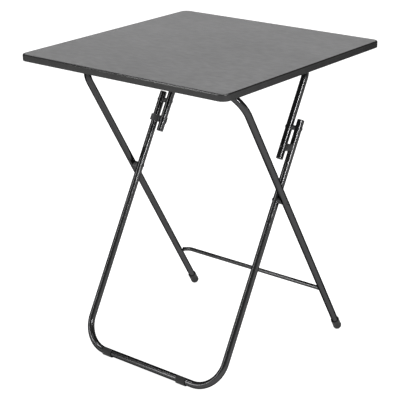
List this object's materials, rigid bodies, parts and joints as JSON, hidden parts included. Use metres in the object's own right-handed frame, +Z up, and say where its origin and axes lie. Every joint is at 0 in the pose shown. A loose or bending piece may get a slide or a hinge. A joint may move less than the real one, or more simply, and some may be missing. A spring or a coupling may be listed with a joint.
{
  "type": "folding tray table",
  "caption": "Square folding tray table: a slate-topped board on a scissor of bent black tubes, held open by two clips and folding flat.",
  "frame": {"origin": "on the floor under the middle of the tabletop, with the table open", "axes": "+Z up; +X along the two hinge lines; +Y across them, from the looped floor bar towards the two capped feet"},
  "size_m": [0.56, 0.56, 0.704],
  "materials": {
    "slate_laminate": "slate-grey melamine facing with a faint mottle",
    "edge_band_black": "rounded charcoal plastic edge band, satin",
    "core_board": "fibreboard core, hidden",
    "backing_grey": "plain dark backing paper",
    "tube_black": "glossy black powder coat on steel tube",
    "strap_black": "black-coated steel strip",
    "rivet_black": "black-coated steel rivet, worn bright at the crown",
    "screw_zinc": "zinc-plated screw",
    "plastic_black": "moulded dark plastic, fine texture",
    "foot_black": "soft black plastic, dull"
  },
  "bodies": {
    "tabletop": {"hinge_screws": "screw_zinc", "link_hinge_cradle_left": "plastic_black", "link_hinge_cradle_right": "plastic_black", "link_hinge_strap_left": "strap_black", "link_hinge_strap_right": "strap_black", "outer_hinge_cradle_left": "plastic_black", "outer_hinge_cradle_right": "plastic_black", "outer_hinge_strap_left": "strap_black", "outer_hinge_strap_right": "strap_black", "top_backing_sheet": "backing_grey", "top_core_board": "core_board", "top_edge_band": "edge_band_black", "top_laminate": "slate_laminate"},
    "outer_frame": {"outer_cross_brace": "tube_black", "outer_foot_cap_left": "foot_black", "outer_foot_cap_right": "foot_black", "outer_frame_tube": "tube_black", "pivot_rivet_left": "rivet_black", "pivot_rivet_right": "rivet_black", "pivot_washer_outer_left": "plastic_black", "pivot_washer_outer_right": "plastic_black"},
    "inner_frame": {"floor_glide_left": "foot_black", "floor_glide_right": "foot_black", "inner_end_plug_left": "plastic_black", "inner_end_plug_right": "plastic_black", "inner_frame_tube": "tube_black", "link_rivet_outer_left": "rivet_black", "link_rivet_outer_right": "rivet_black", "link_washer_outer_left": "plastic_black", "link_washer_outer_right": "plastic_black", "pivot_washer_inner_left": "plastic_black", "pivot_washer_inner_right": "plastic_black"},
    "link_frame": {"clip_rivet_left": "rivet_black", "clip_rivet_right": "rivet_black", "link_end_plug_left": "plastic_black", "link_end_plug_right": "plastic_black", "link_frame_tube": "tube_black", "link_rivet_inner_left": "rivet_black", "link_rivet_inner_right": "rivet_black", "link_washer_inner_left": "plastic_black", "link_washer_inner_right": "plastic_black", "locking_clip_left": "plastic_black", "locking_clip_right": "plastic_black"}
  },
  "joints": [
    {"name": "outer_frame_fold", "type": "hinge", "parent": "tabletop", "child": "outer_frame", "pos_m": [0, -0.16, 0.6735], "axis": [1, 0, 0], "range_deg": [0, 59.74]},
    {"name": "inner_frame_fold", "type": "hinge", "parent": "outer_frame", "child": "inner_frame", "pos_m": [0, 0.00501, 0.39071], "axis": [1, 0, 0], "range_deg": [0, 59.87]},
    {"name": "link_frame_fold", "type": "hinge", "parent": "tabletop", "child": "link_frame", "pos_m": [0, 0.1657, 0.6735], "axis": [1, 0, 0], "range_deg": [-60.39, 0]}
  ],
  "couplings": [
    {"joint": "inner_frame_fold", "follows": "outer_frame_fold", "ratio": 1.0023},
    {"joint": "link_frame_fold", "follows": "outer_frame_fold", "ratio": -1.011}
  ]
}
